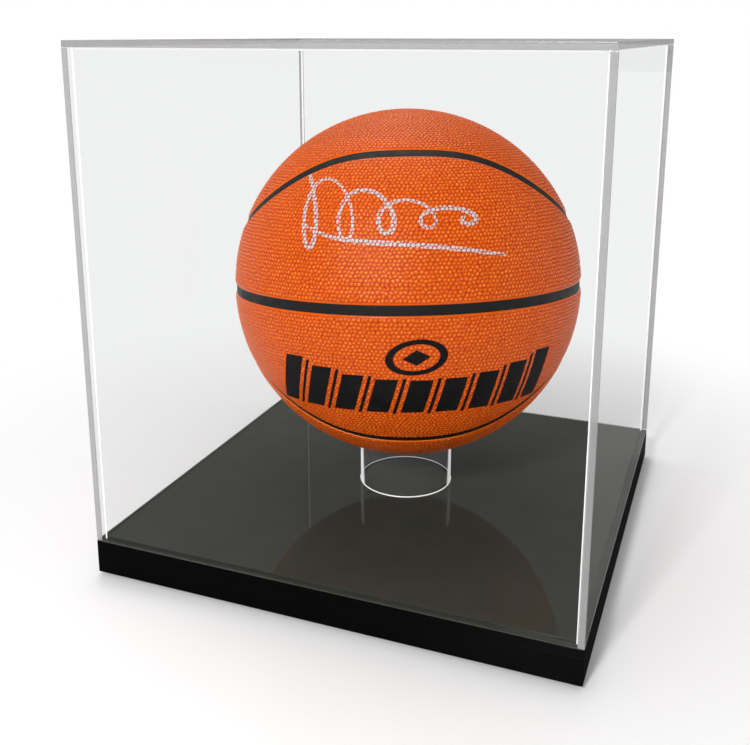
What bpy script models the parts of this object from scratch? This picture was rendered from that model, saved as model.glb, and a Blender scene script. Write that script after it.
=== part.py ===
"""Acrylic display case holding a ball on a riser tube.

Metres, +Z up. The origin lies under the middle of the case, on the surface that the feet stand on,
and the front faces -Y. The case is worked out from the ball: the room left round it sets the cover,
and the cover sets the base.
"""

import math

import bmesh
import bpy
import numpy as np

# Ball: radius over the pebbled panels, and the layers under them, from outside in.
BALL_RADIUS = 0.1195
PANEL_THICKNESS = 0.0015
CARCASS_THICKNESS = 0.0012
WINDING_THICKNESS = 0.0008
BLADDER_THICKNESS = 0.0010
LAYER_GAP = 0.0003  # between bonded layers of the ball
FACET_SAG = 0.0008  # how far the panels' flat facets dip below their true curve
SEAM_WIDTH = 0.0064
BALL_TURN = math.radians(19.5)  # about +Z, from -Y towards +X
BALL_TILT = math.radians(6.0)  # its face looks up by this
BALL_ROLL = math.radians(-1.2)  # about the way it faces

# The two curved seams lie at this latitude from the middle seam: MEAN + TWICE cos 2a + FOUR cos 4a.
CURVE_MEAN = math.radians(38.3)
CURVE_TWICE = math.radians(14.25)
CURVE_FOUR = math.radians(-3.0)
PANEL_CORNER = 0.975  # share of a cap panel's length left where its two long edges meet

# Valve, in the upper back panel.
VALVE_LATITUDE = math.radians(25.0)
VALVE_STEM_RADIUS = 0.0040
VALVE_CLEARANCE = 0.0004
VALVE_FLANGE_RADIUS = 0.0090
VALVE_FLANGE_THICKNESS = 0.0015
VALVE_FLANGE_DEPTH = 0.0012  # below the bladder's inner face
VALVE_RECESS = 0.0008  # the stem ends this far below the ball's surface
NEEDLE_RADIUS = 0.0008

# Room round the ball inside the cover.
SIDE_ROOM = 0.0330  # left and right
FRONT_ROOM = 0.0330  # in front and behind
HEAD_ROOM = 0.0415

# Clear acrylic cover.
WALL = 0.0040
ROOF = 0.0040
COVER_CLEARANCE = 0.0008  # between the walls and the locating plinth

# Riser tube.
TUBE_RADIUS = 0.0330
TUBE_WALL = 0.0030
TUBE_HEIGHT = 0.0330
TUBE_CHAMFER = 0.0006

# Black acrylic base.
BASE_HEIGHT = 0.0220  # deck and skirts
DECK_THICKNESS = 0.0050
SKIRT_THICKNESS = 0.0050
PLINTH_THICKNESS = 0.0015
BLOCK_SIDE = 0.0240

# Stick-on feet.
FOOT_RADIUS = 0.0080
FOOT_HEIGHT = 0.0020
FOOT_EDGE = 0.0006

BOND_GAP = 0.0003  # between pieces that touch or are bonded
POLISH = 0.0003  # chamfer on every sheet's edges

TUBE_SEGMENTS = 48
FOOT_SEGMENTS = 24
VALVE_SEGMENTS = 16
SHELL_SEGMENTS = 30
SHELL_ROWS = 15
PANEL_COLUMNS = 20
PANEL_ROWS = 6

# Heights and outlines that follow.
SKIRT_BOTTOM = FOOT_HEIGHT
DECK_TOP = SKIRT_BOTTOM + BASE_HEIGHT
DECK_BOTTOM = DECK_TOP - DECK_THICKNESS
PLINTH_BOTTOM = DECK_TOP + BOND_GAP
PLINTH_TOP = PLINTH_BOTTOM + PLINTH_THICKNESS
TUBE_BOTTOM = PLINTH_TOP + BOND_GAP
TUBE_TOP = TUBE_BOTTOM + TUBE_HEIGHT
SEAT_RADIUS = TUBE_RADIUS - TUBE_WALL + TUBE_CHAMFER
BALL_CENTRE = TUBE_TOP + math.sqrt((BALL_RADIUS + BOND_GAP) ** 2 - SEAT_RADIUS**2)
ROOF_BOTTOM = BALL_CENTRE + BALL_RADIUS + HEAD_ROOM
COVER_BOTTOM = DECK_TOP + BOND_GAP
HALF_X = BALL_RADIUS + SIDE_ROOM + WALL
HALF_Y = BALL_RADIUS + FRONT_ROOM + WALL


def finish(name, red, green, blue, roughness, clear=0.0):
    """A Principled material; clear is how much light it lets through."""
    material = bpy.data.materials.new(name)
    material.use_nodes = True
    shader = material.node_tree.nodes["Principled BSDF"]
    shader.inputs["Base Color"].default_value = (red, green, blue, 1.0)
    shader.inputs["Roughness"].default_value = roughness
    shader.inputs["Metallic"].default_value = 0.0
    shader.inputs["IOR"].default_value = 1.49
    shader.inputs["Transmission Weight"].default_value = clear
    return material


def add(name, mesh, material, parent=None, place=(0.0, 0.0, 0.0)):
    """A named object from a mesh, under its parent."""
    mesh.materials.append(material)
    piece = bpy.data.objects.new(name, mesh)
    piece.location = place
    piece.parent = parent
    bpy.context.scene.collection.objects.link(piece)
    return piece


def pivot(name, place, rotation=(0.0, 0.0, 0.0)):
    """An empty that carries other pieces, rolled about Y, then tilted about X, then turned about Z."""
    empty = bpy.data.objects.new(name, None)
    empty.location = place
    empty.rotation_mode = "YXZ"
    empty.rotation_euler = rotation
    bpy.context.scene.collection.objects.link(empty)
    return empty


def outward_mesh(name, points, faces, smooth=True):
    """A mesh with its faces pointing out, rounded where its edges are shallow."""
    mesh = bpy.data.meshes.new(name)
    mesh.from_pydata([tuple(point) for point in points], [], faces)
    form = bmesh.new()
    form.from_mesh(mesh)
    bmesh.ops.recalc_face_normals(form, faces=form.faces)
    form.to_mesh(mesh)
    form.free()
    if smooth:
        mesh.shade_smooth()
        mesh.set_sharp_from_angle(angle=math.radians(35))
    return mesh


def sheet(name, low, high, material, parent=None):
    """A rectangular sheet or block with polished edges, given by its two far corners."""
    low, high = np.array(low), np.array(high)
    origin = np.array(parent.location) if parent else np.zeros(3)
    form = bmesh.new()
    bmesh.ops.create_cube(form, size=1.0)
    bmesh.ops.scale(form, vec=high - low, verts=form.verts)
    bmesh.ops.bevel(form, geom=form.edges, offset=POLISH, segments=1, affect="EDGES")
    mesh = bpy.data.meshes.new(name)
    form.to_mesh(mesh)
    form.free()
    return add(name, mesh, material, parent, (low + high) / 2 - origin)


def turned_mesh(name, profile, segments):
    """A closed profile of (radius, height) points turned about Z; points on the axis become poles."""
    turn = 2 * math.pi / segments
    points, rings = [], []
    for radius, height in profile:
        count = segments if radius > 0 else 1
        rings.append([len(points) + step for step in range(count)])
        points += [
            (radius * math.cos(step * turn), radius * math.sin(step * turn), height)
            for step in range(count)
        ]
    faces = []
    for near, far in zip(rings, rings[1:] + rings[:1]):
        if len(near) == 1 and len(far) == 1:
            continue
        for step in range(segments):
            after = (step + 1) % segments
            corners = [near[step % len(near)], near[after % len(near)]]
            corners += [far[after % len(far)], far[step % len(far)]]
            faces.append(list(dict.fromkeys(corners)))
    return outward_mesh(name, points, faces)


def make_cover(material):
    """Five bonded sheets: the roof lies on four walls, and the side walls run the whole depth."""
    lift = pivot("cover_lift_axis", (0.0, 0.0, COVER_BOTTOM))
    wall_top = ROOF_BOTTOM - BOND_GAP
    inner_x = HALF_X - WALL
    inner_y = HALF_Y - WALL
    end_x = inner_x - BOND_GAP
    sheet(
        "cover_top",
        (-HALF_X, -HALF_Y, ROOF_BOTTOM),
        (HALF_X, HALF_Y, ROOF_BOTTOM + ROOF),
        material,
        lift,
    )
    sheet(
        "cover_left",
        (-HALF_X, -HALF_Y, COVER_BOTTOM),
        (-inner_x, HALF_Y, wall_top),
        material,
        lift,
    )
    sheet(
        "cover_right",
        (inner_x, -HALF_Y, COVER_BOTTOM),
        (HALF_X, HALF_Y, wall_top),
        material,
        lift,
    )
    sheet(
        "cover_front",
        (-end_x, -HALF_Y, COVER_BOTTOM),
        (end_x, -inner_y, wall_top),
        material,
        lift,
    )
    sheet(
        "cover_back",
        (-end_x, inner_y, COVER_BOTTOM),
        (end_x, HALF_Y, wall_top),
        material,
        lift,
    )


def make_base(black):
    """Deck, locating plinth, four skirts and the corner blocks that stiffen them."""
    sheet("base_deck", (-HALF_X, -HALF_Y, DECK_BOTTOM), (HALF_X, HALF_Y, DECK_TOP), black)
    plinth_x = HALF_X - WALL - COVER_CLEARANCE
    plinth_y = HALF_Y - WALL - COVER_CLEARANCE
    sheet(
        "locating_plinth",
        (-plinth_x, -plinth_y, PLINTH_BOTTOM),
        (plinth_x, plinth_y, PLINTH_TOP),
        black,
    )
    skirt_top = DECK_BOTTOM - BOND_GAP
    inner_y = HALF_Y - SKIRT_THICKNESS
    inner_x = HALF_X - SKIRT_THICKNESS
    end_y = inner_y - BOND_GAP
    for side, word in ((-1, "front"), (1, "back")):
        faces = sorted((side * inner_y, side * HALF_Y))
        sheet(
            f"base_skirt_{word}",
            (-HALF_X, faces[0], SKIRT_BOTTOM),
            (HALF_X, faces[1], skirt_top),
            black,
        )
    for side, word in ((-1, "left"), (1, "right")):
        faces = sorted((side * inner_x, side * HALF_X))
        sheet(
            f"base_skirt_{word}",
            (faces[0], -end_y, SKIRT_BOTTOM),
            (faces[1], end_y, skirt_top),
            black,
        )


def corners():
    """Each corner's name, and the signs that mirror the back right one to it."""
    for along, depth in ((-1, "front"), (1, "back")):
        for across, side in ((-1, "left"), (1, "right")):
            yield f"{depth}_{side}", across, along


def make_corner_blocks(black, rubber):
    """A block in each corner of the skirts, with a foot stuck under its middle."""
    outer_x = HALF_X - SKIRT_THICKNESS - BOND_GAP
    outer_y = HALF_Y - SKIRT_THICKNESS - BOND_GAP
    block_top = DECK_BOTTOM - BOND_GAP
    foot_top = FOOT_HEIGHT - BOND_GAP
    profile = [
        (0.0, 0.0),
        (FOOT_RADIUS - FOOT_EDGE, 0.0),
        (FOOT_RADIUS, FOOT_EDGE),
        (FOOT_RADIUS, foot_top),
        (0.0, foot_top),
    ]
    foot_mesh = turned_mesh("foot", profile, FOOT_SEGMENTS)
    foot_mesh.materials.append(rubber)
    for word, across, along in corners():
        xs = sorted((across * (outer_x - BLOCK_SIDE), across * outer_x))
        ys = sorted((along * (outer_y - BLOCK_SIDE), along * outer_y))
        sheet(
            f"corner_block_{word}",
            (xs[0], ys[0], SKIRT_BOTTOM),
            (xs[1], ys[1], block_top),
            black,
        )
        foot = bpy.data.objects.new(f"foot_{word}", foot_mesh)
        foot.location = (sum(xs) / 2, sum(ys) / 2, 0.0)
        bpy.context.scene.collection.objects.link(foot)


def make_riser_tube(material):
    """A clear tube whose chamfered inner rim carries the ball."""
    inner = TUBE_RADIUS - TUBE_WALL
    profile = [
        (TUBE_RADIUS, TUBE_BOTTOM),
        (TUBE_RADIUS, TUBE_TOP - TUBE_CHAMFER),
        (TUBE_RADIUS - TUBE_CHAMFER, TUBE_TOP),
        (inner + TUBE_CHAMFER, TUBE_TOP),
        (inner, TUBE_TOP - TUBE_CHAMFER),
        (inner, TUBE_BOTTOM),
    ]
    mesh = turned_mesh("riser_tube", profile, TUBE_SEGMENTS)
    add("riser_tube", mesh, material)


def direction(latitude, around):
    """Unit vectors on the ball: latitude from the middle seam, and the angle around from its face."""
    level = np.cos(latitude)
    return np.stack(
        [level * np.sin(around), -level * np.cos(around), np.sin(latitude)], axis=-1
    )


def curve_latitude(around):
    """Where the curved seam runs above the middle seam."""
    return (
        CURVE_MEAN
        + CURVE_TWICE * np.cos(2 * around)
        + CURVE_FOUR * np.cos(4 * around)
    )


def half_seam():
    """Half a seam's width, as an angle at the ball's centre."""
    return SEAM_WIDTH / 2 / BALL_RADIUS


def curve_half_seam(around):
    """Half the curved seam's width measured up its latitude, wider where the seam climbs."""
    rise = -2 * CURVE_TWICE * np.sin(2 * around) - 4 * CURVE_FOUR * np.sin(4 * around)
    return half_seam() * np.sqrt(1 + (rise / np.cos(curve_latitude(around))) ** 2)


def band_grid():
    """The panel between the middle and the curved seam, on the ball's face, as unit vectors."""
    across, up = np.meshgrid(
        np.linspace(-1, 1, PANEL_COLUMNS + 1), np.linspace(0, 1, PANEL_ROWS + 1)
    )

    def latitude_at(around):
        top = curve_latitude(around) - curve_half_seam(around)
        return half_seam() + up * (top - half_seam())

    latitude = latitude_at(across * math.pi / 2)
    around = across * np.arccos(math.sin(half_seam()) / np.cos(latitude))
    return direction(latitude_at(around), around)


def cap_grid():
    """The panel above the curved seam, from it up to the cross seam over the top."""
    across = np.linspace(-PANEL_CORNER, PANEL_CORNER, PANEL_COLUMNS + 1)
    side = math.pi / 2
    end_latitude = curve_latitude(side) + curve_half_seam(side)
    end = math.acos(math.sin(half_seam()) / math.cos(end_latitude))
    around = across * end
    low = direction(curve_latitude(around) + curve_half_seam(around), around)
    lean = across * (math.pi / 2 - end_latitude)
    high = np.stack(
        [
            math.cos(half_seam()) * np.sin(lean),
            np.full_like(lean, -math.sin(half_seam())),
            math.cos(half_seam()) * np.cos(lean),
        ],
        axis=-1,
    )
    gap = np.arccos(np.clip((low * high).sum(axis=-1), -1, 1))[None, :, None]
    share = np.linspace(0, 1, PANEL_ROWS + 1)[:, None, None]
    return (np.sin((1 - share) * gap) * low + np.sin(share * gap) * high) / np.sin(gap)


def curved_panel_mesh(name, grid):
    """A panel with the ball's outer surface above, its own thickness, and a closed rim."""
    rows, columns = grid.shape[:2]
    outer = (grid * BALL_RADIUS).reshape(-1, 3)
    inner = (grid * (BALL_RADIUS - PANEL_THICKNESS)).reshape(-1, 3)
    number = np.arange(rows * columns).reshape(rows, columns)
    below = number + rows * columns
    quads = np.stack(
        [number[:-1, :-1], number[:-1, 1:], number[1:, 1:], number[1:, :-1]], axis=-1
    )
    faces = quads.reshape(-1, 4).tolist()
    faces += (quads + rows * columns).reshape(-1, 4)[:, ::-1].tolist()
    rim = [*number[0, :-1], *number[:-1, -1], *number[-1, :0:-1], *number[:0:-1, 0]]
    under = [*below[0, :-1], *below[:-1, -1], *below[-1, :0:-1], *below[:0:-1, 0]]
    for here, there, foot_here, foot_there in zip(
        rim, rim[1:] + rim[:1], under, under[1:] + under[:1]
    ):
        faces.append([int(here), int(foot_here), int(foot_there), int(there)])
    return outward_mesh(name, np.concatenate([outer, inner]), faces)


def make_ball_panels(leather, centre, valve_cutter):
    """Eight panels: a band and a cap on each half of the ball, above and below the middle seam."""
    for shape, grid in (("band", band_grid()), ("cap", cap_grid())):
        for upright, height in ((1, "upper"), (-1, "lower")):
            for facing, way in ((1, "front"), (-1, "back")):
                name = f"ball_panel_{height}_{way}_{shape}"
                flips = np.array([facing, facing, upright])
                mesh = curved_panel_mesh(name, grid * flips)
                panel = add(name, mesh, leather, centre)
                if (shape, height, way) == ("band", "upper", "back"):
                    cut = panel.modifiers.new("valve_hole", "BOOLEAN")
                    cut.operation = "DIFFERENCE"
                    cut.object = valve_cutter


def shell_profile(outer, thickness, hole_angle):
    """A hollow sphere's profile, open at the top where the valve goes through."""
    angles = np.linspace(hole_angle, math.pi, SHELL_ROWS + 1)
    profile = [(outer * math.sin(a), outer * math.cos(a)) for a in angles[:-1]]
    inner = outer - thickness
    profile += [(0.0, -outer), (0.0, -inner)]
    profile += [(inner * math.sin(a), inner * math.cos(a)) for a in angles[-2::-1]]
    return profile


def make_ball(leather, carcass_rubber, thread, bladder_rubber, valve_rubber):
    """The ball: bladder, winding, carcass and panels, with the valve through them all."""
    centre = pivot(
        "ball_centre", (0.0, 0.0, BALL_CENTRE), (-BALL_TILT, BALL_ROLL, BALL_TURN)
    )
    valve_axis = pivot("valve_axis", (0.0, 0.0, 0.0), (VALVE_LATITUDE - math.pi / 2, 0, 0))
    valve_axis.parent = centre

    hole = VALVE_STEM_RADIUS + VALVE_CLEARANCE
    layers = (
        ("ball_carcass", CARCASS_THICKNESS, carcass_rubber),
        ("ball_winding", WINDING_THICKNESS, thread),
        ("ball_bladder", BLADDER_THICKNESS, bladder_rubber),
    )
    outer = BALL_RADIUS - PANEL_THICKNESS - FACET_SAG - LAYER_GAP
    hole_angle = math.asin(hole / (outer - sum(layer[1] + LAYER_GAP for layer in layers)))
    for name, thickness, material in layers:
        mesh = turned_mesh(name, shell_profile(outer, thickness, hole_angle), SHELL_SEGMENTS)
        add(name, mesh, material, valve_axis)
        inner = outer - thickness
        outer = inner - LAYER_GAP

    stem_top = BALL_RADIUS - VALVE_RECESS
    flange_top = inner - VALVE_FLANGE_DEPTH
    flange_bottom = flange_top - VALVE_FLANGE_THICKNESS
    profile = [
        (VALVE_STEM_RADIUS, stem_top),
        (VALVE_STEM_RADIUS, flange_top),
        (VALVE_FLANGE_RADIUS, flange_top),
        (VALVE_FLANGE_RADIUS, flange_bottom),
        (NEEDLE_RADIUS, flange_bottom),
        (NEEDLE_RADIUS, stem_top),
    ]
    mesh = turned_mesh("ball_valve", profile, VALVE_SEGMENTS)
    add("ball_valve", mesh, valve_rubber, valve_axis)

    cut_profile = [
        (0.0, BALL_RADIUS + hole),
        (hole, BALL_RADIUS + hole),
        (hole, flange_top),
        (0.0, flange_top),
    ]
    cutter = add(
        "valve_hole_cutter",
        turned_mesh("valve_hole_cutter", cut_profile, VALVE_SEGMENTS),
        valve_rubber,
        valve_axis,
    )
    cutter.hide_render = True
    cutter.display_type = "WIRE"
    make_ball_panels(leather, centre, cutter)


def main():
    for leftover in list(bpy.data.objects):
        bpy.data.objects.remove(leftover, do_unlink=True)
    acrylic = finish("clear_acrylic", 0.93, 0.95, 0.95, 0.02, clear=1.0)
    tube_acrylic = finish("clear_tube_acrylic", 0.95, 0.96, 0.96, 0.03, clear=1.0)
    black = finish("black_gloss_acrylic", 0.012, 0.013, 0.012, 0.06)
    foot_rubber = finish("black_foot_rubber", 0.02, 0.02, 0.02, 0.75)
    leather = finish("orange_pebbled_leather", 0.73, 0.13, 0.018, 0.5)
    carcass_rubber = finish("black_carcass_rubber", 0.014, 0.014, 0.014, 0.6)
    thread = finish("nylon_winding", 0.62, 0.6, 0.55, 0.8)
    bladder_rubber = finish("butyl_bladder", 0.03, 0.03, 0.032, 0.65)
    valve_rubber = finish("valve_rubber", 0.02, 0.02, 0.02, 0.55)
    make_cover(acrylic)
    make_base(black)
    make_corner_blocks(black, foot_rubber)
    make_riser_tube(tube_acrylic)
    make_ball(leather, carcass_rubber, thread, bladder_rubber, valve_rubber)


main()
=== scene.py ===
"""A clear acrylic case on a gloss black base, with a pebbled ball standing on a short clear tube.

Metres, +Z up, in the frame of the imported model. Every piece is worked out as a surface and rides on
its body; the stage is a pale floor, soft boxes and one camera.
"""

import math

import bpy
import numpy as np
from bpy.props import FloatProperty, FloatVectorProperty, IntProperty, PointerProperty
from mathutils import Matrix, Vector


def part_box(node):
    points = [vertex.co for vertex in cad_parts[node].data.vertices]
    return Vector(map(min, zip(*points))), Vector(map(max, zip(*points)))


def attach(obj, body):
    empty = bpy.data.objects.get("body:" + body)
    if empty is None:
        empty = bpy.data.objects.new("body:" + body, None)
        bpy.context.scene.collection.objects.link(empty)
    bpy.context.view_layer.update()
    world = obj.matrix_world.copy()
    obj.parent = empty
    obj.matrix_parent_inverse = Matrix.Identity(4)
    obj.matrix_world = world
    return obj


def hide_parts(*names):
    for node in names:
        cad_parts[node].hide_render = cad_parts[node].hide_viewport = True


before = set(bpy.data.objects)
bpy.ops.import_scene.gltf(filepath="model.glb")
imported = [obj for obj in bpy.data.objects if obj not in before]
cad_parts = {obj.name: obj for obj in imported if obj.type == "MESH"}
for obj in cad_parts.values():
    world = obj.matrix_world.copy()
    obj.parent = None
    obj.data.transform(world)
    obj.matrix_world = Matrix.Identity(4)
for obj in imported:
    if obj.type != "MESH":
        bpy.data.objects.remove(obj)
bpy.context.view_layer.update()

bl_info = {
    "name": "Ball display case",
    "version": (1, 0, 0),
    "blender": (4, 5, 0),
    "location": "3D View > Sidebar > Display Case",
    "description": "Builds an acrylic display case, its riser tube and the ball it holds",
    "category": "Object",
}

SIDES = ("left", "right")
ENDS = ("front", "back")
DECK_LOW, DECK_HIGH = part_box("base_deck")
TUBE_LOW, TUBE_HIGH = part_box("riser_tube")
MM = 0.001


def length_setting(name, description, default):
    """A length in metres."""
    return FloatProperty(name=name, description=description, default=default, unit="LENGTH")


def angle_setting(name, description, degrees):
    """An angle, given here in degrees."""
    return FloatProperty(
        name=name, description=description, default=math.radians(degrees), subtype="ANGLE"
    )


def colour_setting(name, description, default):
    """A colour in linear light."""
    return FloatVectorProperty(
        name=name, description=description, default=default, subtype="COLOR"
    )


def power_setting(name, description, default):
    """A light's power in watts."""
    return FloatProperty(name=name, description=description, default=default, unit="POWER")


def count_setting(name, description, default, least):
    """A whole number, at least the one given."""
    return IntProperty(name=name, description=description, default=default, min=least)


class CaseSizes(bpy.types.PropertyGroup):
    """Roundings and small joints of the acrylic work."""

    polish: length_setting("Polished edge", "Radius of the flame-polished edges", 0.0005)
    bond: length_setting("Bonded edge", "Radius of the edges that are cemented", 0.00015)
    cement: length_setting("Cement fillet", "Leg of the fillet in the cover's corners", 0.0011)
    tube_wall: length_setting("Tube wall", "Wall of the riser tube", 0.003)
    arc_steps: count_setting("Arc steps", "Facets round each rounded edge", 4, 1)
    turned_steps: count_setting("Turned steps", "Facets round each turned piece", 160, 12)


class BallSizes(bpy.types.PropertyGroup):
    """The ball's size, how it is turned, its seams and its pebbles."""

    radius: length_setting("Radius", "Over the pebbles", 0.1195)
    turn: angle_setting("Turn", "About the upright, from the front towards the right", 19.5)
    tilt: angle_setting("Tilt", "How far its face looks up", 6.0)
    roll: angle_setting("Roll", "About the way that its face looks", -1.2)
    seam_width: length_setting("Seam width", "Channel between panels", 0.0064)
    seam_depth: length_setting("Seam depth", "From the pebbles to the channel's rubber", 0.0011)
    panel_wall: length_setting("Panel wall", "Thickness of a panel", 0.0015)
    panel_roll: length_setting("Panel roll", "Width of a panel's rolled edge", 0.0026)
    pebble_pitch: length_setting("Pebble pitch", "From pebble to pebble", 0.0027)
    pebble_height: length_setting("Pebble height", "Valley to top", 0.00044)
    columns: count_setting("Columns", "Mesh columns along a panel", 560, 60)
    rows: count_setting("Rows", "Mesh rows across a panel", 166, 20)


class Finishes(bpy.types.PropertyGroup):
    """Colours of the pieces."""

    acrylic: colour_setting(
        "Acrylic tint", "Light that one face of a clear sheet lets through", (0.965, 0.967, 0.967)
    )
    edge: colour_setting(
        "Polished edge", "Grey of a clear sheet seen through its edge", (0.30, 0.295, 0.295)
    )
    # The cement's pale colour is partly its own and partly a painted highlight of the light caught in
    # the joints.
    cement: colour_setting("Cement", "Dried cement", (0.86, 0.86, 0.86))
    black: colour_setting("Black acrylic", "The base's skirts", (0.0014, 0.0014, 0.0014))
    # The deck is the same black acrylic as the skirts; its paler colour is a painted reflection of
    # the bright room on its top.
    deck: colour_setting("Deck acrylic", "The base's upper face", (0.0445, 0.0480, 0.0395))
    leather: colour_setting("Panels", "Orange of the pebbled panels", (0.72, 0.104, 0.003))
    # Pebble tops is a painted highlight on the pebbles, not rubbing, and Valleys is painted shade
    # between them.
    crown: colour_setting(
        "Pebble tops", "Paler orange where the pebbles are rubbed", (0.90, 0.24, 0.030)
    )
    valley: colour_setting("Valleys", "Orange between the pebbles", (0.36, 0.024, 0.001))
    rubber: colour_setting("Rubber", "Black rubber", (0.006, 0.006, 0.006))
    silver: colour_setting("Silver ink", "Paint pen", (0.56, 0.57, 0.58))


class StageLook(bpy.types.PropertyGroup):
    """Light and camera."""

    key: power_setting("Key light", "Power of the soft box above the front", 20.0)
    top: power_setting("Top light", "Power of the soft box above", 12.0)
    side: power_setting("Side lights", "Power of the soft boxes at the sides", 3.0)
    room: FloatProperty(
        name="Room light", description="Brightness of the room round the stage", default=0.44
    )
    lens: FloatProperty(
        name="Lens", description="Focal length on the camera's sensor", default=45.7, unit="CAMERA"
    )


# Surfaces

CORNER_ROUND = 1.6


def grid_quads(rows, columns, wrap_rows=False, wrap_columns=False):
    """Quads between the neighbours of a grid that is numbered row by row."""
    row = np.arange(rows if wrap_rows else rows - 1)[:, None]
    column = np.arange(columns if wrap_columns else columns - 1)[None, :]
    next_row, next_column = (row + 1) % rows, (column + 1) % columns
    corners = [
        row * columns + column,
        row * columns + next_column,
        next_row * columns + next_column,
        next_row * columns + column,
    ]
    return np.stack(np.broadcast_arrays(*corners), axis=-1).reshape(-1, 4)


def end_faces(rows, columns):
    """The two faces that close a grid at its first and its last row."""
    ring = np.arange(columns)
    return np.array([ring[::-1], ring + (rows - 1) * columns])


def enclosed_volume(points, faces):
    """Six times the volume: the sum over every face's fan of triangles of a . (b x c)."""
    total = 0.0
    for group in faces:
        first = points[group[:, 0]]
        for step in range(1, group.shape[1] - 1):
            second, third = points[group[:, step]], points[group[:, step + 1]]
            total += (first * np.cross(second, third)).sum()
    return total


def make_piece(name, points, faces, materials, body, replaces=(), slot=None, **extra):
    """A piece from its points and groups of faces, each group an array of one corner count.

    The faces are turned round where they would enclose a negative volume. extra may hold kinds, the
    material of each group; normals, one for each point, or sharp, the angle past which an edge
    stays crisp; and values, named numbers for each point.
    """
    if enclosed_volume(points, faces) < 0:
        faces = [group[:, ::-1] for group in faces]
    corners = np.concatenate([group.ravel() for group in faces])
    counts = np.concatenate([np.full(len(group), group.shape[1]) for group in faces])
    mesh = bpy.data.meshes.new(name)
    mesh.vertices.add(len(points))
    mesh.vertices.foreach_set("co", points.astype(np.float32).ravel())
    mesh.loops.add(len(corners))
    mesh.loops.foreach_set("vertex_index", corners.astype(np.int32))
    mesh.polygons.add(len(counts))
    starts = np.concatenate([[0], np.cumsum(counts)[:-1]])
    mesh.polygons.foreach_set("loop_start", starts.astype(np.int32))
    kinds = extra.get("kinds", [0] * len(faces))
    chosen = np.concatenate([np.full(len(group), kind) for group, kind in zip(faces, kinds)])
    mesh.polygons.foreach_set("material_index", chosen.astype(np.int32))
    for material in materials:
        mesh.materials.append(material)
    mesh.update(calc_edges=True)
    mesh.shade_smooth()
    for label, values in extra.get("values", {}).items():
        store = mesh.attributes.new(label, "FLOAT", "POINT")
        store.data.foreach_set("value", values.astype(np.float32).ravel())
    if "normals" in extra:
        mesh.normals_split_custom_set_from_vertices(extra["normals"].tolist())
    elif "sharp" in extra:
        mesh.set_sharp_from_angle(angle=extra["sharp"])
    piece = bpy.data.objects.new(name, mesh)
    bpy.context.scene.collection.objects.link(piece)
    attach(piece, body)
    if replaces:
        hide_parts(*replaces)


def slab_surface(low, high, polish, steps):
    """A slab with rounded edges: points and normals on a grid of profile by outline.

    The profile climbs a quarter circle out, the edge, and a quarter circle back in. The outline goes
    round four quarter circles. A point lies at the corner's centre plus (corner radius - inset)
    along the outline's direction, where inset is the profile's distance in from the edge.
    """
    low, high = np.array(low), np.array(high)
    size = high - low
    thin = int(np.argmin(size))
    wide = [axis for axis in range(3) if axis != thin]
    arc = np.linspace(0, math.pi / 2, steps + 1)
    inset = polish * (1 - np.sin(arc))
    climb = polish * (1 - np.cos(arc))
    inset = np.concatenate([inset, inset[::-1]])[:, None]
    height = np.concatenate([climb, size[thin] - climb[::-1]])[:, None]
    lean = np.concatenate([np.sin(arc), np.sin(arc)[::-1]])[:, None]
    lift = np.concatenate([-np.cos(arc), np.cos(arc)[::-1]])[:, None]
    corner = CORNER_ROUND * polish
    around = (np.arange(4)[:, None] * math.pi / 2 + arc[None, :]).ravel()
    side_u = np.repeat([1, -1, -1, 1], steps + 1)
    side_v = np.repeat([1, 1, -1, -1], steps + 1)
    points = np.zeros((len(inset), len(around), 3))
    normals = np.zeros_like(points)
    for axis, side, turn in ((wide[0], side_u, np.cos(around)), (wide[1], side_v, np.sin(around))):
        centre = (low[axis] + high[axis]) / 2 + side * (size[axis] / 2 - corner)
        points[..., axis] = centre + (corner - inset) * turn
        normals[..., axis] = lean * turn
    points[..., thin] = low[thin] + height
    normals[..., thin] = lift
    return points, normals


def make_slab(name, low, high, materials, body, slot, polish, replaces, exposed=(0, 1, 2)):
    """A rounded slab closed by its two flat faces.

    Its edges that face along the exposed axes take the last material, and so does the rounding of
    its lower edge on the side away from the middle of the case.
    """
    steps = bpy.context.scene.case_sizes.arc_steps
    points, normals = slab_surface(low, high, polish, steps)
    rows, columns = points.shape[:2]
    side = grid_quads(rows, columns, wrap_columns=True)
    facing = normals.reshape(-1, 3)[side].mean(axis=1)
    thin = int(np.argmin(np.subtract(high, low)))
    outward = np.sign(low[thin] + high[thin])
    rounded = facing[:, thin] * outward > 0.1
    facing[:, thin] = 0
    bright = np.isin(np.abs(facing).argmax(axis=1), exposed) | (rounded & (facing[:, 2] < -0.5))
    flats = end_faces(rows, columns)
    make_piece(name, points.reshape(-1, 3), [side, flats], materials, body, [replaces], slot,
               kinds=[bright * (len(materials) - 1), 0], normals=normals.reshape(-1, 3))


def turned_surface(profile, steps, place=(0.0, 0.0, 0.0)):
    """A profile of (radius, height) rows turned about an upright axis: (r cos a, r sin a, z)."""
    around = np.linspace(0, 2 * math.pi, steps, endpoint=False)[None, :]
    radius, height = np.array(profile).T[:, :, None]
    flat = np.broadcast_to(height, (len(profile), steps))
    points = np.stack([radius * np.cos(around), radius * np.sin(around), flat], axis=-1)
    return points + np.array(place)


def quarter(centre, radius, start, steps, turn=1):
    """Points on a quarter circle about centre, from start, counted in quarter turns."""
    angle = (start + turn * np.linspace(0, 1, steps + 1)) * math.pi / 2
    return np.array(centre) + radius * np.stack([np.cos(angle), np.sin(angle)], axis=-1)


# Shader work


def feed(tree, value, socket):
    """Links an input to an output, or sets it to a number or a colour, which gets full alpha."""
    if isinstance(value, bpy.types.NodeSocket):
        tree.links.new(value, socket)
    elif socket.type == "RGBA":
        socket.default_value = (*value[:3], 1.0)
    else:
        socket.default_value = value


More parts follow.
